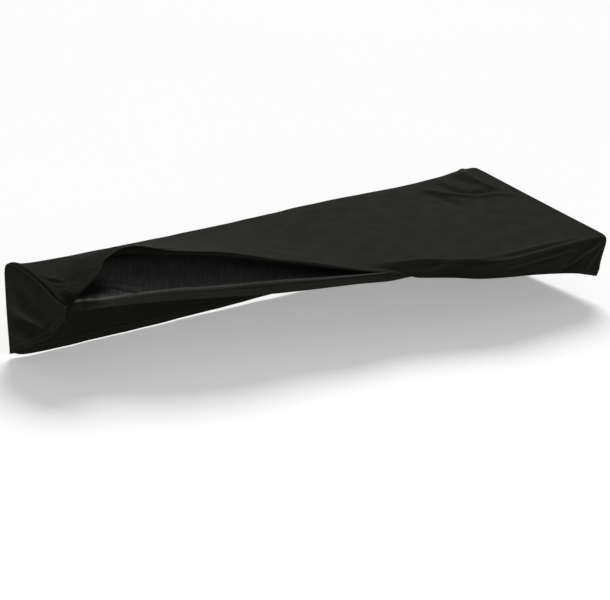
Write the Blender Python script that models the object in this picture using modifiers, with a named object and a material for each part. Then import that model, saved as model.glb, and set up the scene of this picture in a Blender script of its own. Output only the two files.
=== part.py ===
"""Fitted cloth cover for a stage piano, hollow, as it lies with its front pulled back at the left.

Three panels are sewn together at two end seams. The main panel is one length of cloth: the back skirt,
the top and the front skirt. Toward the left the front skirt is pushed back over the keys, so the cloth
doubles there into an S: an upper layer that ends in a raised lip, a hidden layer that runs back under it,
and a lower layer that comes forward again to a ridge and the hem. Each section across the cover is one
smooth curve through the same features, and the panel is the loft between those unlike sections.

X runs along the cover, Y from front to back, Z up. The origin lies under the middle of the top. The
tables measure Y from the front edge of the top and Z from its back edge.
"""

from collections import namedtuple

import bmesh
import bpy
import numpy as np

# Driving sizes, in metres
LENGTH = 1.340  # from one end seam to the other
DEPTH = 0.400  # from the front edge of the top to its back edge
CLOTH = 0.002  # thickness of the cloth
SEAM_GAP = 0.0003  # between two panels at a seam
SEAM_STRIP = 0.005  # beside each end seam, past the tables, where the section stays the same
FOLD_RADIUS = 0.006  # of the lip and of the hidden fold
TOP_DROP = 0.024  # from the top's back edge down to its underside at the middle
END_BULGE = 0.006  # of the middle of an end panel, outward

COLOUR = (0.0125, 0.0135, 0.0095, 1.0)
ROUGHNESS = 0.78

# The back skirt, from its hem up: how far it is drawn in, and how far below the back edge it lies.
BackPoint = namedtuple("BackPoint", "tuck drop steps")
BACK_SKIRT = (
    BackPoint(0.024, 0.178, 1),
    BackPoint(0.021, 0.160, 1),
    BackPoint(0.009, 0.110, 1),
    BackPoint(0.000, 0.055, 1),
    BackPoint(-0.001, 0.016, 2),
    BackPoint(0.002, 0.000, 2),
    BackPoint(0.018, -0.002, 1),
)

# The upper layer: the back edge, the arch between it and the front, the front edge and the lip.
Upper = namedtuple("Upper", "x back_y back_z arch edge_y edge_z lip_y lip_z")
UPPER = (
    Upper(-0.665, 0.412, -0.002, 0.008, 0.258, -0.027, 0.231, -0.042),
    Upper(-0.648, 0.408, -0.006, 0.005, 0.272, -0.018, 0.231, -0.020),
    Upper(-0.620, 0.404, -0.007, 0.002, 0.289, -0.012, 0.236, -0.005),
    Upper(-0.575, 0.403, -0.008, 0.000, 0.300, 0.005, 0.256, 0.010),
    Upper(-0.540, 0.402, -0.008, 0.000, 0.314, 0.016, 0.283, 0.019),
    Upper(-0.505, 0.402, -0.008, 0.000, 0.325, 0.022, 0.287, 0.029),
    Upper(-0.475, 0.402, -0.008, 0.001, 0.310, 0.029, 0.264, 0.038),
    Upper(-0.430, 0.402, -0.008, 0.002, 0.275, 0.029, 0.221, 0.035),
    Upper(-0.345, 0.402, -0.008, 0.003, 0.237, 0.024, 0.183, 0.030),
    Upper(-0.225, 0.402, -0.007, 0.002, 0.195, 0.003, 0.138, 0.010),
    Upper(-0.140, 0.402, -0.006, 0.001, 0.176, -0.010, 0.125, -0.008),
    Upper(-0.040, 0.402, -0.004, 0.000, 0.130, -0.022, 0.089, -0.027),
    Upper(0.060, 0.402, -0.001, 0.000, 0.085, -0.027, 0.072, -0.046),
    Upper(0.118, 0.402, 0.000, 0.000, 0.068, -0.027, 0.065, -0.061),
    Upper(0.188, 0.402, 0.001, 0.000, 0.046, -0.030, 0.043, -0.066),
    Upper(0.270, 0.402, 0.001, 0.000, 0.010, -0.035, 0.026, -0.076),
    Upper(0.390, 0.402, 0.000, 0.000, -0.010, -0.036, 0.012, -0.086),
    Upper(0.540, 0.402, 0.005, 0.000, -0.011, -0.036, 0.010, -0.106),
    Upper(0.620, 0.402, 0.011, -0.001, -0.010, -0.036, 0.007, -0.120),
    Upper(0.665, 0.402, 0.012, -0.001, -0.007, -0.036, 0.007, -0.129),
)

# The layers below it: the hidden fold, the ridge and the hem.
Under = namedtuple("Under", "x fold_y fold_z ridge_y ridge_z hem_y hem_z")
UNDER = (
    Under(-0.665, 0.268, -0.048, 0.252, -0.060, 0.250, -0.068),
    Under(-0.648, 0.284, -0.036, 0.266, -0.045, 0.264, -0.056),
    Under(-0.620, 0.300, -0.030, 0.258, -0.037, 0.259, -0.060),
    Under(-0.575, 0.335, -0.021, 0.235, -0.035, 0.253, -0.060),
    Under(-0.505, 0.366, -0.017, 0.224, -0.035, 0.238, -0.060),
    Under(-0.430, 0.362, -0.018, 0.208, -0.035, 0.215, -0.060),
    Under(-0.345, 0.338, -0.019, 0.180, -0.035, 0.187, -0.060),
    Under(-0.225, 0.282, -0.026, 0.152, -0.036, 0.145, -0.060),
    Under(-0.040, 0.162, -0.040, 0.106, -0.040, 0.103, -0.060),
    Under(0.060, 0.098, -0.036, 0.092, -0.045, 0.083, -0.062),
    Under(0.118, 0.082, -0.041, 0.086, -0.050, 0.080, -0.062),
    Under(0.188, 0.062, -0.045, 0.072, -0.052, 0.068, -0.064),
    Under(0.270, 0.044, -0.050, 0.056, -0.056, 0.054, -0.070),
    Under(0.390, 0.032, -0.056, 0.044, -0.062, 0.043, -0.078),
    Under(0.540, 0.029, -0.072, 0.041, -0.078, 0.041, -0.096),
    Under(0.665, 0.026, -0.092, 0.038, -0.098, 0.038, -0.118),
)

# Soft ridges, or troughs where the height is negative, along a line of (x, y, z) points.
Crease = namedtuple("Crease", "height width line")
TOP_CREASES = (
    # from the middle of the back to the right end
    Crease(
        0.005,
        0.022,
        ((0.430, 0.370, 0.001), (0.480, 0.310, -0.002), (0.555, 0.267, -0.004), (0.645, 0.233, -0.006)),
    ),
    Crease(-0.004, 0.022, ((0.505, 0.385, 0.001), (0.530, 0.300, -0.001), (0.610, 0.276, -0.003))),
    # inside the back corner at the right
    Crease(
        0.006,
        0.018,
        ((0.630, 0.400, 0.012), (0.607, 0.349, 0.007), (0.605, 0.320, 0.003), (0.622, 0.277, -0.001)),
    ),
    # along the front edge
    Crease(
        0.005,
        0.012,
        ((0.600, 0.020, -0.031), (0.475, 0.018, -0.030), (0.390, 0.021, -0.030), (0.260, 0.026, -0.031)),
    ),
    # behind the skirt at the left end
    Crease(
        0.003,
        0.012,
        ((-0.655, 0.331, -0.005), (-0.638, 0.313, -0.007), (-0.615, 0.296, -0.011)),
    ),
)
END_CREASES = (
    Crease(0.007, 0.018, ((0.402, -0.088), (0.353, -0.082), (0.316, -0.081), (0.277, -0.087))),
    Crease(-0.005, 0.016, ((0.382, -0.116), (0.330, -0.106), (0.290, -0.098))),
)

# The hems of the end panels, from the back forward, as (y, z) points.
LEFT_HEM = ((0.336, -0.150), (0.279, -0.112), (0.261, -0.090), (0.234, -0.060))
RIGHT_HEM = ((0.26, -0.172), (0.12, -0.158), (0.008, -0.135))

# Mesh stations: a run of the cover's length, and the number of strips it is cut into.
Run = namedtuple("Run", "end strips")
RUNS = (
    Run(-LENGTH / 2 + SEAM_STRIP, 1),
    Run(-0.600, 6),
    Run(-0.440, 8),
    Run(0.000, 10),
    Run(0.300, 8),
    Run(LENGTH / 2 - SEAM_STRIP, 12),
    Run(LENGTH / 2, 1),
)
END_COLUMNS = 22
END_ROWS = 7


def through(x, table, column):
    """The table's column at each x: cubic between the rows, never past them, and level at both ends."""
    rows = np.array([row.x for row in table])
    x = np.clip(x, rows[0], rows[-1])
    values = np.array([getattr(row, column) for row in table])
    width = np.diff(rows)
    slope = np.diff(values) / width
    before, after = slope[:-1], slope[1:]
    near, far = 2 * width[1:] + width[:-1], width[1:] + 2 * width[:-1]
    one_way = before * after > 0
    total = near * np.where(one_way, after, 1) + far * np.where(one_way, before, 1)
    tangent = np.zeros(len(rows))
    tangent[1:-1] = np.where(one_way, (near + far) * before * after / total, 0)
    i = np.clip(np.searchsorted(rows, x, side="right") - 1, 0, len(rows) - 2)
    t = (x - rows[i]) / width[i]
    bend = width[i] * ((1 - t) * tangent[i] - t * tangent[i + 1]) + (2 * t - 1) * (values[i + 1] - values[i])
    return (1 - t) * values[i] + t * values[i + 1] + t * (1 - t) * bend


def unit(v):
    return v / np.linalg.norm(v, axis=-1, keepdims=True)


def control_points(x):
    """The section's control points, shaped (point, x, yz), and the steps from each to the next."""
    u = {name: through(x, UPPER, name) for name in Upper._fields[1:]}
    d = {name: through(x, UNDER, name) for name in Under._fields[1:]}
    points, steps = [], []

    def add(y, z, step):
        points.append(np.stack([y, z], -1))
        steps.append(step)

    for back in BACK_SKIRT:
        add(u["back_y"] - back.tuck, u["back_z"] - back.drop, back.steps)
    start = points[-1]
    edge = np.stack([u["edge_y"], u["edge_z"]], -1)
    for share in (0.18, 0.38, 0.58, 0.78):
        at = start + share * (edge - start)
        add(at[:, 0], at[:, 1] + 4 * share * (1 - share) * u["arch"], 2)
    at = start + 0.93 * (edge - start)
    add(at[:, 0], at[:, 1], 2)
    add(edge[:, 0], edge[:, 1], 2)

    lip = np.stack([u["lip_y"], u["lip_z"]], -1)
    for share, step in ((0.35, 1), (0.72, 2)):
        at = edge + share * (lip - edge)
        add(at[:, 0], at[:, 1], step)
    run = unit(lip - edge)
    turn = FOLD_RADIUS * np.stack([-run[:, 1], run[:, 0]], -1)
    upper, lower = lip - turn, lip + turn
    add(upper[:, 0], upper[:, 1], 3)
    add(lower[:, 0], lower[:, 1], 2)

    fold = np.stack([d["fold_y"], d["fold_z"]], -1)
    run = unit(fold - lip)
    turn = FOLD_RADIUS * np.stack([run[:, 1], -run[:, 0]], -1)
    for share, step in ((0.35, 1), (0.70, 2)):
        at = lower + share * (fold - turn - lower)
        add(at[:, 0], at[:, 1], step)
    add(*(fold - turn).T, 3)
    add(*(fold + turn).T, 2)
    ridge = np.stack([d["ridge_y"], d["ridge_z"]], -1)
    for share, step in ((0.35, 1), (0.75, 2)):
        at = fold + turn + share * (ridge - fold - turn)
        add(at[:, 0], at[:, 1], step)
    hem = np.stack([d["hem_y"], d["hem_z"]], -1)
    add(ridge[:, 0], ridge[:, 1], 2)
    middle = 0.5 * (ridge + hem)
    add(middle[:, 0], middle[:, 1], 1)
    add(hem[:, 0], hem[:, 1], 0)
    return np.array(points), steps


def spline(points, steps):
    """A uniform cubic B-spline that starts and ends on the first and last of the points."""
    ends = (2 * points[:1] - points[1:2], points, 2 * points[-1:] - points[-2:-1])
    padded = np.concatenate(ends)
    curve = []
    for i, count in enumerate(steps[:-1]):
        for k in range(count):
            t = k / count
            weights = ((1 - t) ** 3, 3 * t**3 - 6 * t**2 + 4, 3 * (t + t**2 - t**3) + 1, t**3)
            curve.append(sum(w * padded[i + j] for j, w in enumerate(weights)) / 6)
    return np.array([*curve, points[-1]])


def raised(points, creases):
    """How far each point is raised by the creases: a bell across each line that fades at its ends."""
    height = np.zeros(points.shape[:-1])
    for crease in creases:
        line = np.array(crease.line, dtype=float)
        legs = np.linalg.norm(np.diff(line, axis=0), axis=1)
        gone = np.concatenate([[0], np.cumsum(legs)]) / legs.sum()
        nearest, along = np.full(height.shape, np.inf), np.zeros(height.shape)
        for start, end, from_share, to_share in zip(line[:-1], line[1:], gone[:-1], gone[1:]):
            leg = end - start
            t = np.clip((points - start) @ leg / (leg @ leg), 0, 1)
            away = np.linalg.norm(points - start - t[..., None] * leg, axis=-1)
            closer = away < nearest
            nearest = np.where(closer, away, nearest)
            along = np.where(closer, from_share + t * (to_share - from_share), along)
        height += crease.height * np.sin(np.pi * along) ** 0.5 * np.exp(-((nearest / crease.width) ** 2))
    return height


def main_sheet():
    """The outer face of the main panel, shaped (section point, station, xyz), before it is placed."""
    x = [-LENGTH / 2]
    for run in RUNS:
        x.extend(np.linspace(x[-1], run.end, run.strips + 1)[1:])
    x = np.array(x)
    controls, steps = control_points(x)
    section = spline(controls, steps)
    sheet = np.concatenate([np.broadcast_to(x[:, None], section.shape[:2] + (1,)), section], -1)
    # The creases raise only the upper layer, which ends at the lip, and fade out at the end seams.
    lip = sum(steps[:14])
    along = np.gradient(section[:lip], axis=0)
    outward = unit(np.stack([along[..., 1], -along[..., 0]], -1))
    fade = np.clip((LENGTH / 2 - np.abs(x)) / 0.02, 0, 1)
    sheet[:lip, :, 1:] += (fade * raised(sheet[:lip], TOP_CREASES))[..., None] * outward
    return sheet, steps


def evenly(line, count):
    """The line's points at even distances along it."""
    gone = np.concatenate([[0], np.cumsum(np.linalg.norm(np.diff(line, axis=0), axis=1))])
    at = np.linspace(0, gone[-1], count + 1)
    return np.stack([np.interp(at, gone, line[:, k]) for k in range(line.shape[1])], -1)


def patch(top, bottom, back, front):
    """A grid between four edges, blended so that it meets each of them."""
    s = np.linspace(0, 1, len(top))[:, None, None]
    t = np.linspace(0, 1, len(back))[None, :, None]
    ruled = (1 - t) * top[:, None] + t * bottom[:, None] + (1 - s) * back[None] + s * front[None]
    corners = (1 - s) * ((1 - t) * top[0] + t * bottom[0]) + s * ((1 - t) * top[-1] + t * bottom[-1])
    return ruled - corners


def end_sheet(edge, corner, front, hem):
    """The inner face of an end panel, drawn in Y and Z from the main panel's edge and its own hem."""
    lip = len(edge)
    top = evenly(edge[corner : front + 1], END_COLUMNS)
    back_side = evenly(edge[corner::-1], END_ROWS)
    front_side = evenly(np.array([*edge[front:lip], *hem[-1:]]), END_ROWS)
    bottom = evenly(np.array([edge[0], *hem]), END_COLUMNS)
    grid = patch(top, bottom, back_side, front_side)
    s = np.linspace(0, np.pi, END_COLUMNS + 1)[:, None]
    t = np.linspace(0, np.pi, END_ROWS + 1)[None]
    out = END_BULGE * np.sin(s) * np.sin(t) + np.sin(s) * raised(grid, END_CREASES) * np.sin(t / 2)
    return grid, np.maximum(out, 0)


def placed(points):
    return points - (0, DEPTH / 2, -TOP_DROP)


def cloth_material(name):
    material = bpy.data.materials.new(name)
    material.use_nodes = True
    shader = material.node_tree.nodes["Principled BSDF"]
    shader.inputs["Base Color"].default_value = COLOUR
    shader.inputs["Roughness"].default_value = ROUGHNESS
    shader.inputs["Metallic"].default_value = 0.0
    material.diffuse_color = COLOUR
    return material


def cloth(name, grid, offset, collection):
    """One panel: an open grid of faces that a Solidify modifier gives the cloth's thickness."""
    rows, columns = grid.shape[:2]
    build = bmesh.new()
    points = [build.verts.new(point) for point in placed(grid).reshape(-1, 3)]
    for i in range(rows - 1):
        for j in range(columns - 1):
            first = i * columns + j
            corners = (first, first + columns, first + columns + 1, first + 1)
            build.faces.new([points[k] for k in corners])
    mesh = bpy.data.meshes.new(name)
    build.to_mesh(mesh)
    build.free()
    mesh.shade_smooth()
    mesh.materials.append(cloth_material(name))
    panel = bpy.data.objects.new(name, mesh)
    collection.objects.link(panel)
    solid = panel.modifiers.new("Cloth", "SOLIDIFY")
    solid.thickness = CLOTH
    solid.offset = offset
    return panel


def main():
    for thing in list(bpy.data.objects):
        bpy.data.objects.remove(thing)
    collection = bpy.data.collections.new("piano_cover")
    bpy.context.scene.collection.children.link(collection)

    sheet, steps = main_sheet()
    cloth("main_panel", sheet, -1, collection)

    corner = sum(steps[:5]) + 1
    lip = sum(steps[:15])
    ends = (
        ("left_end_panel", 0, -1, lip - 2, LEFT_HEM),
        ("right_end_panel", -1, 1, sum(steps[:12]), RIGHT_HEM),
    )
    for name, station, side, front, hem in ends:
        edge = sheet[: lip + 1, station, 1:]
        grid, out = end_sheet(edge, corner, front, hem)
        x = side * (LENGTH / 2 + SEAM_GAP + out)
        panel = np.concatenate([x[..., None], grid], -1)
        cloth(name, panel[::-1] if side < 0 else panel, 1, collection)


main()
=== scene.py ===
"""A fitted cloth cover for a stage piano: three panels of near-black woven cloth, with hems and stitches.

The main panel is the back skirt, the top and the front skirt in one length of cloth. At the left its front
is pushed back over the keys, so the cloth doubles into an S: an upper layer that ends in a raised lip, a
hidden layer that runs back under it, and a lower layer that comes forward again to its hem. An end panel
is sewn to it at each end.

X runs along the cover, Y from front to back, Z up, in metres. The tables of the shape measure Y from the
front edge of the top and Z from its back edge.
"""

from collections import namedtuple
from math import cos, pi, sin

import bpy
import numpy as np
from bpy.props import FloatProperty, FloatVectorProperty, PointerProperty
from mathutils import Matrix, Vector


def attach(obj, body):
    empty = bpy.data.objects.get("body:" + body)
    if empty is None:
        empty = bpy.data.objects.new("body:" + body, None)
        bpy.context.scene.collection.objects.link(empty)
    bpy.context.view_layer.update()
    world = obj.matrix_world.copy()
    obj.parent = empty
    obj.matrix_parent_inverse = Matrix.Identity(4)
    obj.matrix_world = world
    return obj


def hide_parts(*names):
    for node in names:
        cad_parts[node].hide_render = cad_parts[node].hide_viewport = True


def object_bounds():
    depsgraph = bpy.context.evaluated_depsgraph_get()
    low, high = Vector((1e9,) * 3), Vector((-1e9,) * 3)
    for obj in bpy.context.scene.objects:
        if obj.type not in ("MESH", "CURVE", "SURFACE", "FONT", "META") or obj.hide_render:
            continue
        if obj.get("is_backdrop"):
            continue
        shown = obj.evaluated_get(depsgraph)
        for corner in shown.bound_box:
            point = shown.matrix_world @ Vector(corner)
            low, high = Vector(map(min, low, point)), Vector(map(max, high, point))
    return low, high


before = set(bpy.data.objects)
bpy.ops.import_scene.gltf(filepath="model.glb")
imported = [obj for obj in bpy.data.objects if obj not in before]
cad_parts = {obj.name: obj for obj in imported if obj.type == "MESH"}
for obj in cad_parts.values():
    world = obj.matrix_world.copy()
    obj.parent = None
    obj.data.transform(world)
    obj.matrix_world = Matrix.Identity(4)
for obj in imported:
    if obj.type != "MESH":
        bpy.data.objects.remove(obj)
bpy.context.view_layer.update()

bl_info = {
    "name": "Fitted piano cover",
    "version": (1, 0, 0),
    "blender": (4, 5, 0),
    "location": "3D View > Sidebar > Piano cover",
    "description": "Makes a fitted cloth cover for a stage piano, with its hems and stitches",
    "category": "Add Mesh",
}

LENGTH = 1.340  # from one end seam to the other
DEPTH = 0.400  # from the front edge of the top to its back edge
TOP_DROP = 0.024  # from the top's back edge down to its underside at the middle
FOLD_RADIUS = 0.006  # of the hidden fold, and of the lip's upper side
LIP_RADIUS = 0.0032  # of the lip's turn
SAG = 0.0045  # of the hidden layer behind the lip
SEAM_GAP = 0.00005  # between two panels at a seam
END_BULGE = 0.006  # of the middle of an end panel, outward
CORNER_PUFF = 0.005  # of the back corners, outward
BAND_END = -0.530  # where the turned-back casing at the left stops
BAND_HEIGHT = 0.0018  # of that casing
RIDGE_HEIGHT = 0.0014  # of the roll along the ridge
SEAM_DRAW = 0.0018  # of the cloth, inward, at an end seam
SEAM_REACH = 0.006  # how far from an end seam it is drawn in
# Heights of the soft waves on the top, the back skirt, the lower layer and the end panels.
TOP_WAVES, BACK_WAVES, LOWER_WAVES, END_WAVES = 0.0004, 0.0022, 0.0008, 0.0012

# The back skirt, from its hem up: how far it is drawn in, and how far below the back edge it lies.
BACK_SKIRT = (
    (0.024, 0.178),
    (0.021, 0.160),
    (0.009, 0.110),
    (0.000, 0.055),
    (-0.001, 0.016),
    (0.002, 0.000),
    (0.018, -0.002),
)

# The upper layer: the back edge, the arch between it and the front, the front edge and the lip.
Upper = namedtuple("Upper", "x back_y back_z arch edge_y edge_z lip_y lip_z")
UPPER = (
    Upper(-0.665, 0.412, -0.002, 0.008, 0.258, -0.027, 0.231, -0.042),
    Upper(-0.648, 0.408, -0.006, 0.005, 0.272, -0.018, 0.231, -0.020),
    Upper(-0.620, 0.404, -0.007, 0.002, 0.289, -0.012, 0.236, -0.005),
    Upper(-0.575, 0.403, -0.008, 0.000, 0.300, 0.005, 0.256, 0.010),
    Upper(-0.540, 0.402, -0.008, 0.000, 0.314, 0.016, 0.283, 0.019),
    Upper(-0.505, 0.402, -0.008, 0.000, 0.325, 0.022, 0.287, 0.029),
    Upper(-0.475, 0.402, -0.008, 0.001, 0.310, 0.029, 0.264, 0.038),
    Upper(-0.430, 0.402, -0.008, 0.002, 0.275, 0.029, 0.221, 0.035),
    Upper(-0.345, 0.402, -0.008, 0.003, 0.237, 0.024, 0.183, 0.030),
    Upper(-0.225, 0.402, -0.007, 0.002, 0.195, 0.003, 0.138, 0.010),
    Upper(-0.140, 0.402, -0.006, 0.001, 0.176, -0.010, 0.125, -0.008),
    Upper(-0.040, 0.402, -0.004, 0.000, 0.130, -0.022, 0.089, -0.027),
    Upper(0.060, 0.402, -0.001, 0.000, 0.085, -0.027, 0.072, -0.046),
    Upper(0.118, 0.402, 0.000, 0.000, 0.068, -0.027, 0.065, -0.061),
    Upper(0.188, 0.402, 0.001, 0.000, 0.046, -0.030, 0.043, -0.066),
    Upper(0.270, 0.402, 0.001, 0.000, 0.010, -0.035, 0.026, -0.076),
    Upper(0.390, 0.402, 0.000, 0.000, -0.010, -0.036, 0.012, -0.086),
    Upper(0.540, 0.402, 0.005, 0.000, -0.011, -0.036, 0.010, -0.106),
    Upper(0.620, 0.402, 0.011, -0.001, -0.010, -0.036, 0.007, -0.120),
    Upper(0.665, 0.402, 0.012, -0.001, -0.007, -0.036, 0.007, -0.129),
)

# The layers below it: the hidden fold, the ridge and the hem.
Under = namedtuple("Under", "x fold_y fold_z ridge_y ridge_z hem_y hem_z")
UNDER = (
    Under(-0.665, 0.268, -0.048, 0.252, -0.060, 0.250, -0.068),
    Under(-0.648, 0.284, -0.036, 0.266, -0.045, 0.264, -0.056),
    Under(-0.620, 0.300, -0.030, 0.258, -0.037, 0.259, -0.060),
    Under(-0.575, 0.335, -0.021, 0.235, -0.035, 0.253, -0.060),
    Under(-0.505, 0.366, -0.017, 0.224, -0.035, 0.238, -0.060),
    Under(-0.430, 0.362, -0.018, 0.208, -0.035, 0.215, -0.060),
    Under(-0.345, 0.338, -0.019, 0.180, -0.035, 0.187, -0.060),
    Under(-0.225, 0.282, -0.026, 0.152, -0.036, 0.145, -0.060),
    Under(-0.040, 0.162, -0.040, 0.106, -0.040, 0.103, -0.060),
    Under(0.060, 0.098, -0.036, 0.092, -0.045, 0.083, -0.062),
    Under(0.118, 0.082, -0.041, 0.086, -0.050, 0.080, -0.062),
    Under(0.188, 0.062, -0.045, 0.072, -0.052, 0.068, -0.064),
    Under(0.270, 0.044, -0.050, 0.056, -0.056, 0.054, -0.070),
    Under(0.390, 0.032, -0.056, 0.044, -0.062, 0.043, -0.078),
    Under(0.540, 0.029, -0.072, 0.041, -0.078, 0.041, -0.096),
    Under(0.665, 0.026, -0.092, 0.038, -0.098, 0.038, -0.118),
)

# Numbers of the section's points: the back hem, the corner above it, the front edge, the lip, the hidden
# fold and the front hem. A place between two of them is a fraction.
BACK_HEM, BACK_EDGE, FRONT_EDGE, LIP, FOLD, RIDGE, FRONT_HEM = 0, 5.5, 12, 15.5, 19.5, 23, 25

# Soft ridges, or troughs where the height is negative, along a line of points.
Crease = namedtuple("Crease", "height width line")
UPPER_CREASES = (
    # at the right, from the middle of the back to the end seam
    Crease(0.0065, 0.0085, ((0.443, 0.361, 0.001), (0.476, 0.313, -0.002), (0.527, 0.273, -0.004),
                            (0.602, 0.260, -0.004), (0.638, 0.236, -0.006))),
    Crease(-0.0055, 0.013, ((0.508, 0.380, 0.001), (0.515, 0.309, 0.001), (0.540, 0.285, -0.002),
                            (0.594, 0.276, -0.003), (0.625, 0.262, -0.004))),
    Crease(-0.0040, 0.012, ((0.430, 0.345, -0.001), (0.452, 0.300, -0.005), (0.460, 0.272, -0.008),
                            (0.460, 0.243, -0.011))),
    # inside the back corner at the right
    Crease(0.0070, 0.009, ((0.632, 0.402, 0.012), (0.612, 0.368, 0.011), (0.605, 0.332, 0.005),
                           (0.607, 0.310, 0.002), (0.619, 0.282, -0.001))),
    Crease(-0.0045, 0.011, ((0.590, 0.392, 0.008), (0.578, 0.355, 0.006), (0.580, 0.315, 0.001))),
    # along the front edge at the right
    Crease(0.0046, 0.0055, ((0.590, 0.018, -0.031), (0.475, 0.018, -0.030), (0.390, 0.021, -0.030),
                            (0.290, 0.026, -0.031))),
    Crease(-0.0036, 0.0050, ((0.570, 0.009, -0.033), (0.465, 0.010, -0.032), (0.375, 0.009, -0.032),
                             (0.290, 0.012, -0.033))),
    Crease(0.0046, 0.0060, ((0.664, 0.001, -0.039), (0.591, 0.001, -0.037), (0.499, 0.001, -0.036),
                            (0.408, -0.001, -0.036), (0.343, -0.001, -0.039), (0.270, 0.010, -0.038))),
    # down the front skirt at the right, fanning from its corner
    Crease(0.0045, 0.0055, ((0.652, -0.004, -0.043), (0.591, -0.005, -0.061), (0.556, 0.001, -0.080),
                            (0.541, 0.004, -0.094))),
    Crease(-0.0040, 0.0060, ((0.600, -0.005, -0.070), (0.578, 0.001, -0.088), (0.548, 0.003, -0.094),
                             (0.519, 0.004, -0.096))),
    Crease(0.0035, 0.0060, ((0.655, -0.003, -0.060), (0.628, -0.001, -0.085), (0.612, 0.004, -0.108))),
    Crease(0.0042, 0.0055, ((0.560, -0.006, -0.044), (0.510, -0.006, -0.046), (0.425, -0.006, -0.049),
                            (0.363, -0.001, -0.052), (0.310, 0.007, -0.058))),
    Crease(-0.0035, 0.0055, ((0.540, -0.006, -0.052), (0.470, -0.004, -0.058), (0.400, 0.000, -0.061),
                             (0.345, 0.006, -0.064))),
    # where the skirt starts to be pushed back
    Crease(-0.0036, 0.0060, ((0.060, 0.086, -0.030), (0.116, 0.070, -0.035), (0.171, 0.059, -0.033),
                             (0.216, 0.040, -0.034), (0.254, 0.020, -0.037), (0.290, 0.012, -0.037))),
    Crease(0.0034, 0.0060, ((0.042, 0.099, -0.027), (0.100, 0.082, -0.027), (0.166, 0.062, -0.029),
                            (0.234, 0.036, -0.032), (0.277, 0.026, -0.034))),
    Crease(0.0038, 0.0055, ((0.125, 0.064, -0.048), (0.150, 0.057, -0.040), (0.180, 0.051, -0.036),
                            (0.225, 0.034, -0.037))),
    # behind the skirt at the left end
    Crease(-0.0030, 0.0050, ((-0.664, 0.322, -0.007), (-0.653, 0.303, -0.011), (-0.634, 0.284, -0.014))),
    Crease(0.0030, 0.0050, ((-0.662, 0.338, -0.006), (-0.648, 0.315, -0.009), (-0.622, 0.296, -0.011))),
    Crease(-0.0026, 0.0045, ((-0.664, 0.303, -0.012), (-0.653, 0.288, -0.015), (-0.640, 0.274, -0.017))),
    Crease(0.0024, 0.0045, ((-0.664, 0.312, -0.010), (-0.652, 0.296, -0.013), (-0.636, 0.280, -0.015))),
    # down the back skirt
    Crease(0.0055, 0.011, ((0.658, 0.404, -0.015), (0.612, 0.400, -0.075), (0.585, 0.388, -0.140))),
    Crease(-0.0045, 0.011, ((0.632, 0.404, -0.030), (0.580, 0.400, -0.085), (0.552, 0.386, -0.145))),
    Crease(0.0035, 0.014, ((0.330, 0.402, -0.040), (0.318, 0.396, -0.100), (0.325, 0.384, -0.160))),
    Crease(0.0030, 0.015, ((0.080, 0.402, -0.050), (0.096, 0.396, -0.105), (0.092, 0.384, -0.162))),
    Crease(0.0035, 0.013, ((-0.190, 0.402, -0.045), (-0.205, 0.396, -0.100), (-0.196, 0.384, -0.164))),
    Crease(-0.0030, 0.013, ((-0.224, 0.402, -0.060), (-0.238, 0.394, -0.110), (-0.232, 0.384, -0.164))),
    Crease(0.0035, 0.014, ((-0.420, 0.402, -0.040), (-0.405, 0.396, -0.100), (-0.412, 0.384, -0.164))),
    Crease(0.0055, 0.011, ((-0.656, 0.410, -0.020), (-0.615, 0.400, -0.085), (-0.590, 0.386, -0.150))),
    Crease(-0.0045, 0.011, ((-0.630, 0.408, -0.040), (-0.585, 0.398, -0.095), (-0.560, 0.385, -0.155))),
)
LOWER_CREASES = (
    Crease(0.0034, 0.007, ((-0.565, 0.285, -0.030), (-0.539, 0.253, -0.033), (-0.515, 0.226, -0.038))),
    Crease(-0.0028, 0.007, ((-0.545, 0.285, -0.030), (-0.520, 0.258, -0.032), (-0.500, 0.228, -0.036))),
    Crease(0.0028, 0.007, ((-0.560, 0.300, -0.028), (-0.520, 0.277, -0.030), (-0.480, 0.238, -0.034))),
    Crease(0.0020, 0.008, ((-0.030, 0.130, -0.024), (0.055, 0.097, -0.026), (0.128, 0.079, -0.026))),
    # gathers down the strip between the ridge and the hem
    Crease(0.0030, 0.005, ((-0.626, 0.262, -0.034), (-0.614, 0.257, -0.056))),
    Crease(-0.0030, 0.005, ((-0.615, 0.260, -0.034), (-0.603, 0.255, -0.056))),
    Crease(0.0030, 0.005, ((-0.605, 0.256, -0.034), (-0.592, 0.254, -0.057))),
    Crease(-0.0028, 0.005, ((-0.593, 0.252, -0.034), (-0.580, 0.253, -0.057))),
    Crease(0.0024, 0.006, ((-0.581, 0.246, -0.034), (-0.566, 0.251, -0.057))),
)
LEFT_CREASES = (
    Crease(0.0100, 0.011, ((0.408, -0.086), (0.352, -0.082), (0.317, -0.083), (0.278, -0.088))),
    Crease(-0.0090, 0.015, ((0.400, -0.112), (0.350, -0.106), (0.315, -0.102), (0.285, -0.098),
                            (0.270, -0.092))),
    Crease(-0.0045, 0.005, ((0.286, -0.092), (0.274, -0.080), (0.266, -0.064))),
    Crease(0.0040, 0.010, ((0.400, -0.140), (0.352, -0.132), (0.315, -0.122))),
    Crease(0.0050, 0.013, ((0.408, -0.040), (0.384, -0.060), (0.345, -0.066))),
    Crease(-0.0035, 0.012, ((0.390, -0.030), (0.360, -0.040), (0.310, -0.052))),
)
RIGHT_CREASES = (
    Crease(0.0060, 0.015, ((0.390, -0.010), (0.345, -0.080), (0.332, -0.150))),
    Crease(-0.0040, 0.013, ((0.360, -0.020), (0.305, -0.080), (0.292, -0.140))),
    Crease(0.0055, 0.014, ((0.020, -0.045), (0.065, -0.085), (0.088, -0.140))),
    Crease(0.0040, 0.016, ((0.215, -0.040), (0.190, -0.090), (0.200, -0.145))),
    Crease(-0.0035, 0.014, ((0.150, -0.050), (0.140, -0.095), (0.150, -0.140))),
)

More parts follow.
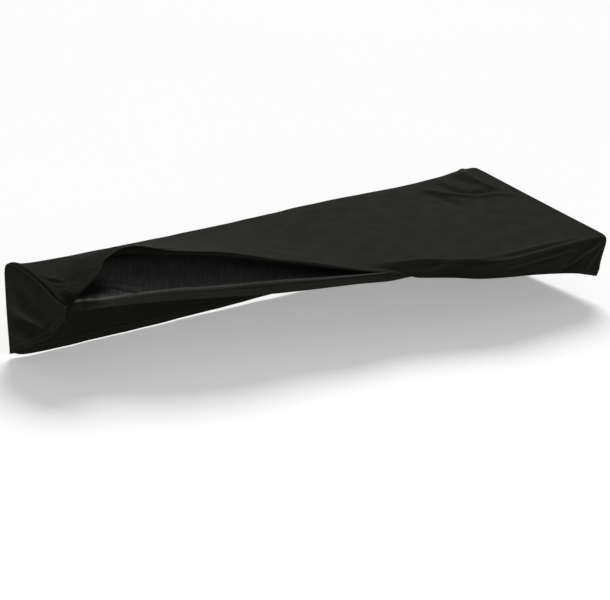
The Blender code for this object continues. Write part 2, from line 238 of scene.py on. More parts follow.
# The hems of the end panels, from the back forward, as (y, z) points.
LEFT_HEM = ((0.336, -0.150), (0.279, -0.112), (0.261, -0.090), (0.234, -0.060))
RIGHT_HEM = ((0.26, -0.172), (0.12, -0.158), (0.008, -0.135))

# The mesh's stations along the cover, and its places round the section: each run has an end and the number
# of strips to it.
Run = namedtuple("Run", "end strips")
STATIONS = (Run(-0.665, 2), Run(-0.440, 62), Run(0.300, 116), Run(0.665, 86), Run(0.670, 2))
PLACES = (
    Run(1, 2), Run(4, 9), Run(6, 6), Run(7, 12), Run(11, 62), Run(12, 8), Run(15, 22), Run(16, 6),
    Run(19, 6), Run(20, 4), Run(22, 13), Run(23, 13), Run(24, 6), Run(25, 4),
)
END_COLUMNS, END_ROWS = 80, 44

# The camera, found from the cover's corners: where it stands, its heading, pitch and roll, and its focal
# length in widths of the picture.
CAMERA_AT = (-2.74218, -2.43260, 1.20848)
CAMERA_TURN = (0.831725, 0.346440, 0.114223)
CAMERA_FOCAL = 1890.56 / 610


class CoverSettings(bpy.types.PropertyGroup):
    """Sizes and colours of the cover."""

    thickness: FloatProperty(
        name="Cloth thickness",
        description="Thickness of the cloth",
        default=0.002,
        unit="LENGTH",
        precision=4,
    )
    casing: FloatProperty(
        name="Casing width",
        description="From a hem to the seam that closes its casing",
        default=0.016,
        unit="LENGTH",
        precision=4,
    )
    stitch: FloatProperty(
        name="Stitch pitch",
        description="From one stitch to the next",
        default=0.0032,
        unit="LENGTH",
        precision=4,
    )
    thread: FloatProperty(
        name="Thread",
        description="Thickness of the sewing thread",
        default=0.0006,
        unit="LENGTH",
        precision=4,
    )
    yarn: FloatProperty(
        name="Yarn pitch",
        description="From one yarn of the weave to the next",
        default=0.0008,
        unit="LENGTH",
        precision=5,
    )
    weave_depth: FloatProperty(
        name="Weave depth",
        description="Height of a yarn above the gaps beside it",
        default=0.00004,
        unit="LENGTH",
        precision=6,
    )
    rumple: FloatProperty(
        name="Rumple",
        description="Height of the small rumples in the cloth",
        default=0.00035,
        unit="LENGTH",
        precision=5,
    )
    colour: FloatVectorProperty(
        name="Cloth",
        description="Colour of the cloth",
        size=3,
        subtype="COLOR",
        default=(0.0148, 0.0155, 0.0108),
    )
    # Painted light: the lighter grey that stands in for light on the cloth under the lip; doubled, it is also
    # the painted highlights.
    painted_light_colour: FloatVectorProperty(
        name="Sheltered cloth",
        description="Colour of the cloth under the lip, where little light has reached it",
        size=3,
        subtype="COLOR",
        default=(0.0880, 0.0880, 0.0850),
    )
    thread_colour: FloatVectorProperty(
        name="Thread colour",
        description="Colour of the thread",
        size=3,
        subtype="COLOR",
        default=(0.02, 0.02, 0.018),
    )
    roughness: FloatProperty(
        name="Roughness", description="Roughness of the cloth", default=0.78, min=0, max=1, subtype="FACTOR"
    )
    sheen: FloatProperty(
        name="Sheen", description="Strength of the soft sheen", default=0.01, min=0, max=1, subtype="FACTOR"
    )
    floor_colour: FloatVectorProperty(
        name="Floor", description="Colour of the floor", size=3, subtype="COLOR", default=(0.90, 0.90, 0.90)
    )


def through(x, table, column):
    """The table's column at each x.

    Between two rows it is the cubic that has the rows' values and tangents. A tangent is the harmonic mean
    of the slopes on its two sides, or zero where they differ in sign, so the curve never passes the rows.
    """
    rows = np.array([row.x for row in table])
    x = np.clip(x, rows[0], rows[-1])
    values = np.array([getattr(row, column) for row in table])
    width = np.diff(rows)
    slope = np.diff(values) / width
    before, after = slope[:-1], slope[1:]
    near, far = 2 * width[1:] + width[:-1], width[1:] + 2 * width[:-1]
    one_way = before * after > 0
    total = near * np.where(one_way, after, 1) + far * np.where(one_way, before, 1)
    tangent = np.zeros(len(rows))
    tangent[1:-1] = np.where(one_way, (near + far) * before * after / total, 0)
    i = np.clip(np.searchsorted(rows, x, side="right") - 1, 0, len(rows) - 2)
    t = (x - rows[i]) / width[i]
    bend = width[i] * ((1 - t) * tangent[i] - t * tangent[i + 1]) + (2 * t - 1) * (values[i + 1] - values[i])
    return (1 - t) * values[i] + t * values[i + 1] + t * (1 - t) * bend


def unit(vectors):
    return vectors / np.linalg.norm(vectors, axis=-1, keepdims=True)


def smooth(t):
    """0 up to t = 0, 1 from t = 1, and 3t^2 - 2t^3 between."""
    t = np.clip(t, 0, 1)
    return t * t * (3 - 2 * t)


def control_points(x):
    """The section's control points at each x, shaped (point, x, yz).

    Each point is a share of the way between two features from the tables. The lip and the hidden fold are
    each a pair of points, a turn's width apart.
    """
    u = {name: through(x, UPPER, name) for name in Upper._fields[1:]}
    d = {name: through(x, UNDER, name) for name in Under._fields[1:]}
    points = [np.stack([u["back_y"] - tuck, u["back_z"] - drop], -1) for tuck, drop in BACK_SKIRT]

    start, edge = points[-1], np.stack([u["edge_y"], u["edge_z"]], -1)
    for share in (0.18, 0.38, 0.58, 0.78):
        arch = np.stack([0 * x, 4 * share * (1 - share) * u["arch"]], -1)
        points.append(start + share * (edge - start) + arch)
    points += [start + 0.93 * (edge - start), edge]

    lip = np.stack([u["lip_y"], u["lip_z"]], -1)
    points += [edge + share * (lip - edge) for share in (0.35, 0.72)]
    run = unit(lip - edge)
    turn = np.stack([-run[:, 1], run[:, 0]], -1)
    upper = lip - FOLD_RADIUS * turn
    lower = upper + 2 * LIP_RADIUS * turn
    points += [upper, lower]

    fold = np.stack([d["fold_y"], d["fold_z"]], -1)
    run = unit(fold - lip)
    turn = FOLD_RADIUS * np.stack([run[:, 1], -run[:, 0]], -1)
    sag = np.stack([0 * x, SAG * smooth((0.05 - x) / 0.15) * smooth((x + 0.65) / 0.05)], -1)
    hangs = ((0.35, 1.0), (0.70, 0.4))
    points += [lower + share * (fold - turn - lower) - fall * sag for share, fall in hangs]
    points += [fold - turn, fold + turn]

    ridge = np.stack([d["ridge_y"], d["ridge_z"]], -1)
    hem = np.stack([d["hem_y"], d["hem_z"]], -1)
    points += [fold + turn + share * (ridge - fold - turn) for share in (0.35, 0.75)]
    points += [ridge, 0.5 * (ridge + hem), hem]
    return np.array(points)


def b_spline(points, place):
    """The uniform cubic B-spline on the points at each place, and its direction there.

    The first and last points are mirrored outward, so the curve starts and ends on them.
    """
    padded = np.concatenate([2 * points[:1] - points[1:2], points, 2 * points[-1:] - points[-2:-1]])
    i = np.clip(np.floor(place).astype(int), 0, len(points) - 2)
    t = (place - i)[..., None]
    column = np.arange(place.shape[1])
    around = [padded[i + j, column] for j in range(4)]
    at = ((1 - t) ** 3, 3 * t**3 - 6 * t**2 + 4, 3 * (t + t**2 - t**3) + 1, t**3)
    way = (-((1 - t) ** 2), 3 * t**2 - 4 * t, 1 + 2 * t - 3 * t**2, t**2)
    curve = sum(w * point for w, point in zip(at, around)) / 6
    return curve, unit(sum(w * point for w, point in zip(way, around)))


def raised(points, creases):
    """How far the creases raise each point: height * sqrt(sin(pi s)) * exp(-(d / width)^2).

    d is the distance to the crease's line, and s the share of the line passed at the nearest point on it.
    """
    height = np.zeros(points.shape[:-1])
    for crease in creases:
        line = np.array(crease.line, dtype=float)
        legs = np.linalg.norm(np.diff(line, axis=0), axis=1)
        gone = np.concatenate([[0], np.cumsum(legs)]) / legs.sum()
        nearest, along = np.full(height.shape, np.inf), np.zeros(height.shape)
        for start, end, from_share, to_share in zip(line[:-1], line[1:], gone[:-1], gone[1:]):
            leg = end - start
            t = np.clip((points - start) @ leg / (leg @ leg), 0, 1)
            away = np.linalg.norm(points - start - t[..., None] * leg, axis=-1)
            closer = away < nearest
            nearest = np.where(closer, away, nearest)
            along = np.where(closer, from_share + t * (to_share - from_share), along)
        height += crease.height * np.sin(pi * along) ** 0.5 * np.exp(-((nearest / crease.width) ** 2))
    return height


def swell(u, v, seed, longest=0.30, shortest=0.07, waves=14):
    """Soft waves in the cloth: the mean of sines of seeded directions, lengths and phases, from -1 to 1."""
    pick = np.random.default_rng(seed)
    lengths = longest * (shortest / longest) ** pick.random(waves)
    angles, phases = pi * pick.random(waves), 2 * pi * pick.random(waves)
    wave = 0
    for length, angle, phase in zip(lengths, angles, phases):
        wave = wave + length / longest * np.sin(2 * pi * (u * cos(angle) + v * sin(angle)) / length + phase)
    return wave / (lengths / longest).sum() * 2


def band_edge(x):
    """The place of the inner edge of the casing that shows at the left: the front edge, then the lip."""
    return FRONT_EDGE + (LIP - 0.6 - FRONT_EDGE) * smooth((x + 0.590) / 0.055)


def painted_shade(place, x):
    """The painted shade on the main panel's cloth, from 0 in full light to 1 deep in the fold.

    The sum of smooth steps: the hidden layer, the lip where it is raised, the lower layer where the gap
    above it is narrow, the top's left end, the strip below the ridge and the front skirt.
    """
    raised_lip = smooth((x + 0.56) / 0.04) * (1 - smooth((x + 0.34) / 0.12))
    hidden = smooth((place - LIP - 0.15 + 0.6 * raised_lip) / 0.3) * (1 - smooth((place - FOLD + 0.2) / 1.4))
    lower = smooth(place - FOLD) * (1 - smooth((place - 21.8) / 1.0))
    narrow = smooth(place - FOLD) * (1 - smooth((place - RIDGE + 0.35) / 0.25))
    top = smooth(place - BACK_EDGE) * (1 - smooth((place - LIP) / 0.5))
    strip = smooth((place - RIDGE - 0.15) / 0.4) * (1 + 1.4 * smooth((-0.56 - x) / 0.04))
    skirt = smooth((place - FRONT_EDGE + 0.5) / 1.0) * (1 - smooth((place - LIP) / 0.5))
    skirt = skirt * smooth((x - 0.05) / 0.2)
    left, right = smooth((-0.50 - x) / 0.07), smooth((x + 0.32) / 0.30)
    parts = hidden + 0.9 * left * lower + 0.85 * right * narrow
    return parts + 0.52 * smooth((-0.45 - x) / 0.15) * top + 0.30 * strip + 0.60 * skirt


def main_surface(place, x):
    """The outer face of the main panel at places round its section and stations along it, and its creases.

    The section's curve is moved along its own outward normal by the creases, soft waves, the turned-back
    casing, the roll along the ridge and the end seams, which draw the last few millimetres in. place and x
    are shaped (place, station).
    """
    stations = x[0]
    curve, way = b_spline(control_points(stations), place)
    outward = np.stack([way[..., 1], -way[..., 0]], -1)
    points = np.concatenate([x[..., None], curve], -1)

    upper = smooth((LIP - 0.3 - place) / 0.8)
    lower = smooth((place - FOLD - 0.5) / 1.0) * smooth((FRONT_HEM + 0.3 - place) / 1.0)
    from_end = LENGTH / 2 - np.abs(x)
    free = smooth(from_end / 0.03)
    creased = free * upper * raised(points, UPPER_CREASES) + free * lower * raised(points, LOWER_CREASES)
    top = smooth((place - BACK_EDGE) / 1.5) * smooth((FRONT_EDGE + 0.5 - place) / 1.5)
    back = smooth((BACK_EDGE + 0.5 - place) / 2.0)
    height = creased + TOP_WAVES * free * top * swell(x, curve[..., 0], 3)
    height += BACK_WAVES * free * back * swell(x, 0.25 * place / BACK_EDGE * 0.18, 5, 0.16, 0.06)
    height += LOWER_WAVES * free * lower * swell(x, curve[..., 0], 8, 0.12, 0.04)
    height += BAND_HEIGHT * upper * smooth((place - band_edge(x)) / 0.15) * smooth((BAND_END - x) / 0.01)
    height += RIDGE_HEIGHT * np.exp(-(((place - RIDGE) / 0.16) ** 2)) * smooth((0.10 - x) / 0.1) * free
    height -= SEAM_DRAW * (1 - smooth(from_end / SEAM_REACH))
    points[..., 1:] += height[..., None] * outward
    # The back corners of the ends puff out sideways, just under the back edge.
    puff = np.exp(-(((place - 4.3) / 1.1) ** 2)) * (1 - smooth(from_end / 0.05))
    points[..., 0] += np.sign(x) * CORNER_PUFF * puff
    return points - (0, DEPTH / 2, -TOP_DROP), creased


def spread(runs, start):
    """The runs' even steps, one run after the other."""
    at = [start]
    for run in runs:
        at.extend(np.linspace(at[-1], run.end, run.strips + 1)[1:])
    return np.array(at)


def distance_along(grid, axis=0):
    """The distance gone along each line of the grid."""
    legs = np.linalg.norm(np.diff(grid, axis=axis), axis=-1)
    return np.concatenate([np.zeros_like(np.take(legs, [0], axis)), np.cumsum(legs, axis=axis)], axis)


def evenly(line, count):
    """The line's points at even distances along it."""
    gone = distance_along(line)
    at = np.linspace(0, gone[-1], count + 1)
    return np.stack([np.interp(at, gone, line[:, k]) for k in range(line.shape[1])], -1)


def patch(top, bottom, back, front):
    """A grid between four edges: the sum of the two ruled surfaces less the bilinear one on the corners."""
    s = np.linspace(0, 1, len(top))[:, None, None]
    t = np.linspace(0, 1, len(back))[None, :, None]
    ruled = (1 - t) * top[:, None] + t * bottom[:, None] + (1 - s) * back[None] + s * front[None]
    corners = (1 - s) * ((1 - t) * top[0] + t * bottom[0]) + s * ((1 - t) * top[-1] + t * bottom[-1])
    return ruled - corners


def end_surface(side, front, hem, creases):
    """The inner face of an end panel, shaped (column, row, xyz), and its creases.

    In Y and Z it is a patch between the main panel's end, from its back edge to the place front, and the
    panel's own hem. It bulges outward by sin times sin of the shares across it, and its creases and soft
    waves fade toward the seam.
    """
    def end_line(places):
        x = np.full((len(places), 1), side * LENGTH / 2)
        return main_surface(places[:, None], x)[0][:, 0]

    table = (DEPTH / 2, -TOP_DROP)
    hem = [(side * LENGTH / 2, y - DEPTH / 2, z + TOP_DROP) for y, z in hem]
    hem_points = np.array([*end_line(np.array([0.0])), *hem])
    hem_places = np.linspace(0, len(hem), 200)[:, None]
    hem_line = b_spline(hem_points[:, None], hem_places)[0][:, 0]
    top = evenly(end_line(np.linspace(BACK_EDGE, front, 400)), END_COLUMNS)
    back_side = evenly(end_line(np.linspace(BACK_EDGE, BACK_HEM, 100)), END_ROWS)
    front_side = evenly(np.array([*end_line(np.linspace(front, 14.6, 30)), hem_line[-1]]), END_ROWS)
    grid = patch(top, evenly(hem_line, END_COLUMNS), back_side, front_side)

    s = np.linspace(0, pi, END_COLUMNS + 1)[:, None]
    t = np.linspace(0, pi, END_ROWS + 1)[None]
    flat = grid[..., 1:]
    creased = np.sin(s) * raised(flat + table, creases) * np.sin(t / 2)
    out = END_BULGE * np.sin(s) * np.sin(t) + creased
    waves = swell(flat[..., 0], flat[..., 1], 21 + int(side), 0.10, 0.04)
    out += END_WAVES * np.sin(s) * np.sin(t / 2) * waves
    grid[..., 0] += side * (SEAM_GAP + np.maximum(out, 0))
    return grid, creased


def cloth_object(name, grid, measures, cloth_map, thickness, offset, material):
    """A panel: the grid as one open mesh of quads, given its thickness by a Solidify modifier.

    measures are the point attributes that the material reads, and cloth_map is where each point lay on the
    flat cloth, in metres.
    """
    rows, columns = grid.shape[:2]
    first = (np.arange(rows - 1)[:, None] * columns + np.arange(columns - 1)).ravel()
    faces = np.stack([first, first + columns, first + columns + 1, first + 1], -1)
    mesh = bpy.data.meshes.new(name)
    mesh.from_pydata(grid.reshape(-1, 3), [], faces)
    mesh.uv_layers.new(name="cloth").data.foreach_set("uv", cloth_map.reshape(-1, 2)[faces.ravel()].ravel())
    for measure, values in measures.items():
        values = np.broadcast_to(values, grid.shape[:2])
        mesh.attributes.new(measure, "FLOAT", "POINT").data.foreach_set("value", values.ravel())
    mesh.shade_smooth()
    mesh.materials.append(material)
    panel = bpy.data.objects.new(name, mesh)
    bpy.context.scene.collection.objects.link(panel)
    solid = panel.modifiers.new("Cloth", "SOLIDIFY")
    solid.thickness = thickness
    solid.offset = offset
    return panel


def along_line(points, normals, pitch):
    """Points, directions and normals at even distances along a line of surface points."""
    gone = distance_along(points)
    at = np.arange(0.5 * pitch, gone[-1], pitch)
    where = np.stack([np.interp(at, gone, points[:, k]) for k in range(3)], -1)
    way = unit(np.stack([np.interp(at, gone, np.gradient(points[:, k])) for k in range(3)], -1))
    up = unit(np.stack([np.interp(at, gone, normals[:, k]) for k in range(3)], -1))
    return where, way, up


def stitches_object(name, lines, settings, material):
    """Rows of stitches, each a small spindle: two tips on the cloth and a square of points at its middle."""
    where, way, up = (np.concatenate(parts) for parts in zip(*lines))
    across = unit(np.cross(way, up))
    half, thick = 0.40 * settings.stitch, 0.5 * settings.thread
    # share of the half length along the line, of the thickness across it and of the thickness upward
    spindle = np.array([(-1, 0, 0), (0, 1, 0.3), (0, 0, 1.3), (0, -1, 0.3), (0, 0, -0.7), (1, 0, 0)])
    steps = spindle * (half, thick, thick)
    points = where[:, None] + sum(steps[:, k, None] * v[:, None] for k, v in enumerate((way, across, up)))
    ring = np.array([1, 2, 3, 4])
    after = np.roll(ring, -1)
    faces = np.array([(0, a, b) for a, b in zip(ring, after)] + [(5, b, a) for a, b in zip(ring, after)])
    faces = (faces[None] + 6 * np.arange(len(where))[:, None, None]).reshape(-1, 3)
    mesh = bpy.data.meshes.new(name)
    mesh.from_pydata(points.reshape(-1, 3), [], faces)
    mesh.shade_smooth()
    mesh.materials.append(material)
    thread = bpy.data.objects.new(name, mesh)
    bpy.context.scene.collection.objects.link(thread)
    return thread


def normals_of(grid):
    """The grid's unit normals: the cross product of its two directions."""
    return unit(np.cross(np.gradient(grid, axis=0), np.gradient(grid, axis=1)))


def at_distance(grid, distance, wanted):
    """Where each column of the grid reaches the wanted distance, by straight lines between its rows."""
    k = np.clip((distance < wanted).sum(0), 1, len(grid) - 1)
    column = np.arange(grid.shape[1])
    before, after = distance[k - 1, column], distance[k, column]
    t = ((wanted - before) / (after - before))[:, None]
    return (1 - t) * grid[k - 1, column] + t * grid[k, column]


class Socket:
    """A node's output that can be reckoned with: each operator adds the Math node that works it out."""

    def __init__(self, shader, output):
        self.shader, self.output = shader, output

    def reckon(self, operation, *others):
        return self.shader.node("Math", {"operation": operation}, dict(enumerate((self, *others))))

    def __add__(self, other):
        return self.reckon("ADD", other)

    def __mul__(self, other):
        return self.reckon("MULTIPLY", other)

    def __sub__(self, other):
        return self.reckon("SUBTRACT", other)

    def __truediv__(self, other):
        return self.reckon("DIVIDE", other)

    def __pow__(self, other):
        return self.reckon("POWER", other)

    def __rsub__(self, other):
        return self * -1.0 + other

    def __rtruediv__(self, other):
        return self**-1.0 * other

    def __neg__(self):
        return self * -1.0

    __radd__, __rmul__ = __add__, __mul__

    def sin(self):
        return self.reckon("SINE")

    def size(self):
        return self.reckon("ABSOLUTE")

    def exp(self):
        return self.reckon("EXPONENT")

    def bell(self, middle, width):
        """exp(-((self - middle) / width)^2)"""
        t = (self - middle) / width
        return (-(t * t)).exp()


class Shader:
    """A material's nodes."""

    def __init__(self, name):
        self.material = bpy.data.materials.new(name)
        self.material.use_nodes = True
        self.tree = self.material.node_tree
        self.tree.nodes.clear()

    def node(self, kind, settings, sockets, output=0):
        """Adds a node, gives it its settings and then its sockets' values or links, and returns an output."""
        node = self.tree.nodes.new("ShaderNode" + kind)
        for name, value in settings.items():
            setattr(node, name, value)
        for name, value in sockets.items():
            if isinstance(value, Socket):
                self.tree.links.new(value.output, node.inputs[name])
            else:
                node.inputs[name].default_value = value
        return Socket(self, node.outputs[output])

    def measure(self, name):
        return self.node("Attribute", {"attribute_name": name}, {}, "Fac")

    def between(self, value, low, high, start=0.0, end=1.0):
        """start where the value is low or less, end where it is high or more, and a smooth step between."""
        sockets = {"Value": value, "From Min": low, "From Max": high, "To Min": start, "To Max": end}
        return self.node("MapRange", {"interpolation_type": "SMOOTHSTEP"}, sockets)

    def mixed(self, share, first, second):
        """The first colour, and as much of the second as the share says."""
        return self.node("Mix", {"data_type": "RGBA"}, {0: share, 6: first, 7: second}, 2)

    def noise(self, where, scale, stretch=(1, 1, 1), detail=3.0):
        where = self.node("Mapping", {}, {"Vector": where, "Scale": stretch})
        return self.node("TexNoise", {}, {"Vector": where, "Scale": scale, "Detail": detail}, 0)

    def finished(self, **sockets):
        """Closes the material with a Principled shader of these sockets."""
        named = {name.replace("_", " "): value for name, value in sockets.items()}
        surface = self.node("BsdfPrincipled", {}, named)
        output = self.tree.nodes.new("ShaderNodeOutputMaterial")
        self.tree.links.new(surface.output, output.inputs["Surface"])
        return self.material


def opaque(colour, share=1.0):
    return (*(share * c for c in colour), 1.0)


def woven_cloth(settings):
    """Plain woven cloth, matt and near black.

    Height: the sheet's small rumples, the casing's padding, gathers and stitched groove near a hem, the
    puckers near a seam, and the weave, where warp passes over weft where sin(u) * sin(v) is positive.
    Colour: the cloth's own, with painted light as a streaked lighter grey under the lip, painted shade down
    to near black where light would not reach, painted highlights along the ridge, near the end seams, on
    crease ridges and beside the casing's seam, and painted shade in crease troughs, in the groove and at the
    end seams.
    """
    shader = Shader("woven_cloth")
    cloth = shader.node("UVMap", {"uv_map": "cloth"}, {})
    u = shader.node("SeparateXYZ", {}, {"Vector": cloth}, "X")
    v = shader.node("SeparateXYZ", {}, {"Vector": cloth}, "Y")
    from_hem, from_seam = shader.measure("from_hem"), shader.measure("from_seam")
    sheltered, dark, crease = (shader.measure(name) for name in ("sheltered", "dark", "crease"))

    over = (u * (pi / settings.yarn)).sin() * (v * (pi / settings.yarn)).sin()
    weave = over.size() ** 0.5
    slubs = shader.noise(cloth, 60.0, (0.12, 3.0, 1.0), 4.0)
    rumples = shader.noise(cloth, 22.0, (1.0, 1.4, 1.0), 5.0)
    where = shader.node("TexCoord", {}, {}, "Object")
    x = shader.node("SeparateXYZ", {}, {"Vector": where}, "X")
    y = shader.node("SeparateXYZ", {}, {"Vector": where}, "Y")
    slant = shader.node("CombineXYZ", {}, {"X": x - 0.88 * y, "Y": y})
    streaks = shader.noise(slant, 48.0, (6.0, 0.30, 1.0), 3.0)
    gathers = shader.noise(cloth, 60.0, (3.2, 0.4, 1.0), 2.0)
    puckers = shader.noise(cloth, 60.0, (0.5, 2.6, 1.0), 2.0)

    in_casing = shader.between(from_hem, settings.casing - 0.001, settings.casing, 1.0, 0.0)
    near_hem = shader.between(from_hem, settings.casing, 2.6 * settings.casing, 1.0, 0.0)
    near_seam = shader.between(from_seam, 0.002, 0.022, 1.0, 0.0)
    groove = from_hem.bell(settings.casing, 0.0011)
    padding = from_hem.bell(0.5 * settings.casing, 0.4 * settings.casing) * in_casing

    height = settings.weave_depth * weave + settings.rumple * rumples + 0.0002 * slubs
    height = height + 0.0009 * padding - 0.0007 * groove + 0.0016 * near_hem * gathers
    height = height + 0.0012 * near_seam * puckers + 0.0004 * sheltered * streaks
    normal = shader.node("Bump", {}, {"Strength": 1.0, "Distance": 1.0, "Height": height})

    shade = shader.between(rumples, 0.35, 0.70)
    colour = shader.mixed(shade, opaque(settings.colour, 0.94), opaque(settings.colour, 1.06))
    # Painted light: under the lip the cloth is drawn as a streaked lighter grey, as if lit.
    streaked = shader.between(streaks, 0.36, 0.64)
    under = shader.mixed(streaked, opaque(settings.painted_light_colour, 0.78), opaque(settings.painted_light_colour, 1.18))
    colour = shader.mixed(sheltered, colour, under)
    # Painted shade: the cloth drawn near black under the lip, in the narrow gap, on the strip, at the top's
    # left end and on the front skirt.
    colour = shader.mixed(0.95 * dark, colour, opaque(settings.colour, 0.2))
    # Painted highlight: a pale line along the ridge, and a few millimetres from the end seams.
    colour = shader.mixed(0.75 * shader.measure("worn"), colour, opaque(settings.painted_light_colour, 2.0))
    yarns = shader.between(over, -0.3, 0.3)
    colour = shader.mixed(0.25 * yarns, colour, opaque(settings.colour, 0.7))
    # Painted highlight on crease ridges and painted shade in their troughs.
    ridge, trough = shader.between(crease, 0.0, 0.006), shader.between(crease, -0.005, 0.0, 1.0, 0.0)
    colour = shader.mixed(0.50 * ridge, colour, opaque(settings.colour, 2.2))
    colour = shader.mixed(0.60 * trough, colour, opaque(settings.colour, 0.3))
    # Painted highlight: a pale line just inside the casing's seam, weaker where painted shade lies.
    edge = from_hem.bell(settings.casing - 0.0030, 0.0014)
    colour = shader.mixed(edge * (0.35 - 0.8 * dark), colour, opaque(settings.colour, 3.0))
    # Painted shade in the stitched groove.
    colour = shader.mixed(0.6 * groove, colour, opaque(settings.colour, 0.35))
    # Painted shade: a dark line in the groove of the end seams.
    colour = shader.mixed(0.9 * from_seam.bell(0.0, 0.0022), colour, opaque(settings.colour, 0.12))
    roughness = settings.roughness + 0.10 * (slubs - 0.5) - 0.05 * shade
    return shader.finished(
        Base_Color=colour,
        Roughness=roughness,
        Normal=normal,
        Sheen_Weight=settings.sheen,
        Sheen_Roughness=0.45,
        Specular_IOR_Level=0.03,
    )


def sewing_thread(settings):
    """Twisted thread: fine light and dark bands across it."""
    shader = Shader("sewing_thread")
    where = shader.node("TexCoord", {}, {}, "Object")
    twist = shader.noise(where, 900.0, (1, 1, 1), 2.0)
    colour = shader.mixed(twist, opaque(settings.thread_colour, 0.6), opaque(settings.thread_colour, 1.5))
    normal = shader.node("Bump", {}, {"Strength": 0.6, "Distance": 0.0003, "Height": twist})
    return shader.finished(Base_Color=colour, Roughness=0.62, Normal=normal)


def floor_paint(settings):
    """Smooth pale paint with a faint mottle."""
    shader = Shader("floor_paint")
    where = shader.node("TexCoord", {}, {}, "Object")
    mottle = shader.noise(where, 1.5, (1, 1, 1), 2.0)
    colour = shader.mixed(mottle, opaque(settings.floor_colour, 0.99), opaque(settings.floor_colour, 1.0))
    return shader.finished(
        Base_Color=colour, Roughness=0.9, Emission_Color=(1, 1, 1, 1), Emission_Strength=0.34
    )


def material(name, make):
    """The material of that name, made by the function the first time it is asked for."""
    return bpy.data.materials.get(name) or make(bpy.context.scene.piano_cover)


class CoverOperator:
    bl_options = {"REGISTER", "UNDO"}


class COVER_OT_main_panel(CoverOperator, bpy.types.Operator):
    """Makes the main panel: back skirt, top and front skirt, with the stitches of its two hems"""

    bl_idname = "piano_cover.main_panel"
    bl_label = "Main panel"

    def execute(self, context):
        settings = context.scene.piano_cover
        place, x = np.meshgrid(spread(PLACES, 0.0), spread(STATIONS, -LENGTH / 2), indexing="ij")
        grid, creased = main_surface(place, x)
        gone = distance_along(grid)
        in_band = smooth((BAND_END - x) / 0.01) * smooth((LIP + 0.5 - place) / 0.5)
        beside_band = settings.casing + 0.012 * (band_edge(x) - place)
        from_hems = np.minimum(gone, gone[-1] - gone)
        measures = {
            "from_hem": np.minimum(from_hems, np.where(in_band > 0.5, beside_band, 1)),
            "from_seam": LENGTH / 2 - np.abs(x),
            # Painted light on the lower layer under the lip, fading on the strip below the ridge.
            "sheltered": smooth((place - LIP - 0.4) / 0.6) * (1 - 0.85 * smooth((place - RIDGE) / 0.5)),
            # Painted shade, from the function above.
            "dark": painted_shade(place, x),
            # Painted highlight along the ridge.
            "worn": np.exp(-(((place - RIDGE) / 0.09) ** 2)) * smooth((0.12 - x) / 0.2),
            "crease": creased,
        }
        # The flat cloth is measured from the line where every section is level.
        top = gone - gone[np.argmax(place[:, 0] >= 9)]
        panel = cloth_object(
            "main_cloth",
            grid,
            measures,
            np.stack([x, top], -1),
            settings.thickness,
            -1,
            material("woven_cloth", woven_cloth),
        )

        normals = normals_of(grid)
        lines = []
        for distance, step in ((gone, 1), (gone[-1] - gone, -1)):
            line = at_distance(grid[::step], distance[::step], settings.casing)
            up = at_distance(normals[::step], distance[::step], settings.casing)
            lines.append(along_line(line, up, settings.stitch))
        # The casing's seam on the turned-back corner at the left, from the end seam to the lip.
        x = np.linspace(-0.668, -0.537, 80)[None]
        place = band_edge(x)
        beside, _ = main_surface(np.concatenate([place - 0.1, place + 0.1]), np.repeat(x, 2, 0))
        up = normals_of(beside)[0]
        lines.append(along_line(main_surface(place, x)[0][0], up, settings.stitch))
        thread = stitches_object("main_stitches", lines, settings, material("sewing_thread", sewing_thread))

        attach(panel, "root")
        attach(thread, "root")
        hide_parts("main_panel")
        return {"FINISHED"}


class COVER_OT_end_panels(CoverOperator, bpy.types.Operator):
    """Makes the two end panels, each with the stitches of its hem"""

    bl_idname = "piano_cover.end_panels"
    bl_label = "End panels"

    def execute(self, context):
        settings = context.scene.piano_cover
        ends = (
            ("left_end", -1, 14, LEFT_HEM, LEFT_CREASES, (0.19, 0.18), 0.022),
            ("right_end", 1, FRONT_EDGE, RIGHT_HEM, RIGHT_CREASES, (0.40, 0.17), None),
        )
        for name, side, front, hem, creases, flat, area in ends:
            grid, creased = end_surface(side, front, hem, creases)
            if side < 0:
                grid, creased = grid[::-1], creased[::-1]
            gone = distance_along(grid, 1)
            none = np.zeros(1)
            # A painted highlight a few millimetres from the end seam.
            edge = 0.25 * np.exp(-(((gone - 0.003) / 0.0016) ** 2))
            measures = {"from_hem": gone[:, -1:] - gone, "from_seam": gone + 0.0012, "crease": creased}
            measures |= {"sheltered": none, "dark": none, "worn": edge}
            panel = cloth_object(
                f"{name}_cloth",
                grid,
                measures,
                grid[..., 1:],
                settings.thickness,
                1,
                material("woven_cloth", woven_cloth),
            )
            turned = grid.swapaxes(0, 1)[::-1]
            distance = measures["from_hem"].swapaxes(0, 1)[::-1]
            outside = normals_of(grid).swapaxes(0, 1)[::-1]
            line = at_distance(turned, distance, settings.casing)
            up = at_distance(outside, distance, settings.casing)
            line = line + settings.thickness * up
            rows = [along_line(line, up, settings.stitch)]
            sewn_with = material("sewing_thread", sewing_thread)
            thread = stitches_object(f"{name}_stitches", rows, settings, sewn_with)
            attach(panel, "root")
            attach(thread, "root")
            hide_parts(f"{name}_panel")
        return {"FINISHED"}


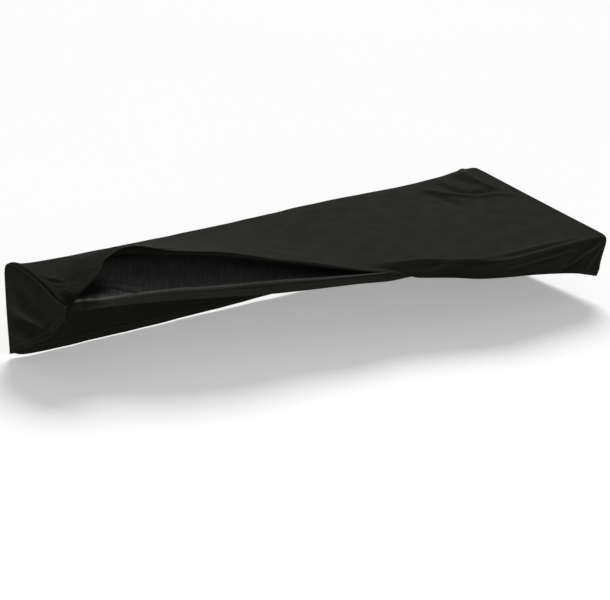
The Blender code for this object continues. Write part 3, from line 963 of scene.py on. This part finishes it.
class COVER_OT_stage(CoverOperator, bpy.types.Operator):
    """Makes the floor, the soft lights and the camera"""

    bl_idname = "piano_cover.stage"
    bl_label = "Stage"

    def execute(self, context):
        settings, scene = context.scene.piano_cover, context.scene
        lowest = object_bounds()[0][2]
        reach = 30.0
        corners = [(-reach, -reach), (reach, -reach), (reach, reach), (-reach, reach)]
        mesh = bpy.data.meshes.new("floor")
        mesh.from_pydata([(x, y, lowest - 0.002) for x, y in corners], [], [(0, 1, 2, 3)])
        mesh.materials.append(material("floor_paint", floor_paint))
        floor = bpy.data.objects.new("floor", mesh)
        scene.collection.objects.link(floor)
        floor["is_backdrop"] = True

        sun = bpy.data.lights.new("overhead", "SUN")
        sun.energy, sun.angle = 2.3, 0.5
        area = bpy.data.lights.new("front", "AREA")
        area.size, area.energy = 0.8, 5.0
        for light, at in ((sun, (1.0, 1.0, 1.3)), (area, (-0.65, -1.3, 0.40))):
            lamp = bpy.data.objects.new(light.name, light)
            lamp.location = at
            lamp.rotation_euler = (-Vector(at)).to_track_quat("-Z", "Y").to_euler()
            scene.collection.objects.link(lamp)

        world = bpy.data.worlds.new("studio")
        world.use_nodes = True
        world.node_tree.nodes["Background"].inputs["Color"].default_value = (1.0, 1.0, 1.0, 1.0)
        world.node_tree.nodes["Background"].inputs["Strength"].default_value = 0.18
        scene.world = world
        scene.view_settings.view_transform = "Standard"

        yaw, pitch, roll = CAMERA_TURN
        ahead = np.array((sin(yaw) * cos(pitch), cos(yaw) * cos(pitch), -sin(pitch)))
        level = np.array((cos(yaw), -sin(yaw), 0.0))
        above = np.cross(level, ahead)
        right = cos(roll) * level + sin(roll) * above
        up = cos(roll) * above - sin(roll) * level
        lens = bpy.data.cameras.new("camera")
        lens.sensor_width = 36.0
        lens.lens = lens.sensor_width * CAMERA_FOCAL
        camera = bpy.data.objects.new("camera", lens)
        turn = np.stack([right, up, -ahead], -1)
        camera.matrix_world = Matrix.Translation(CAMERA_AT) @ Matrix(turn.tolist()).to_4x4()
        scene.collection.objects.link(camera)
        scene.camera = camera
        return {"FINISHED"}


class COVER_PT_sidebar(bpy.types.Panel):
    """Lists the cover's settings and the operators that make it"""

    bl_idname = "COVER_PT_sidebar"
    bl_label = "Piano cover"
    bl_space_type = "VIEW_3D"
    bl_region_type = "UI"
    bl_category = "Piano cover"

    def draw(self, context):
        for name in CoverSettings.__annotations__:
            self.layout.prop(context.scene.piano_cover, name)
        for operator in OPERATORS:
            self.layout.operator(operator.bl_idname)


OPERATORS = (COVER_OT_main_panel, COVER_OT_end_panels, COVER_OT_stage)
CLASSES = (CoverSettings, *OPERATORS, COVER_PT_sidebar)


def register():
    for each in CLASSES:
        bpy.utils.register_class(each)
    bpy.types.Scene.piano_cover = PointerProperty(type=CoverSettings)


def unregister():
    del bpy.types.Scene.piano_cover
    for each in reversed(CLASSES):
        bpy.utils.unregister_class(each)


def main():
    register()
    bpy.ops.piano_cover.main_panel()
    bpy.ops.piano_cover.end_panels()
    bpy.ops.piano_cover.stage()
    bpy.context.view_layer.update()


if __name__ == "__main__":
    main()
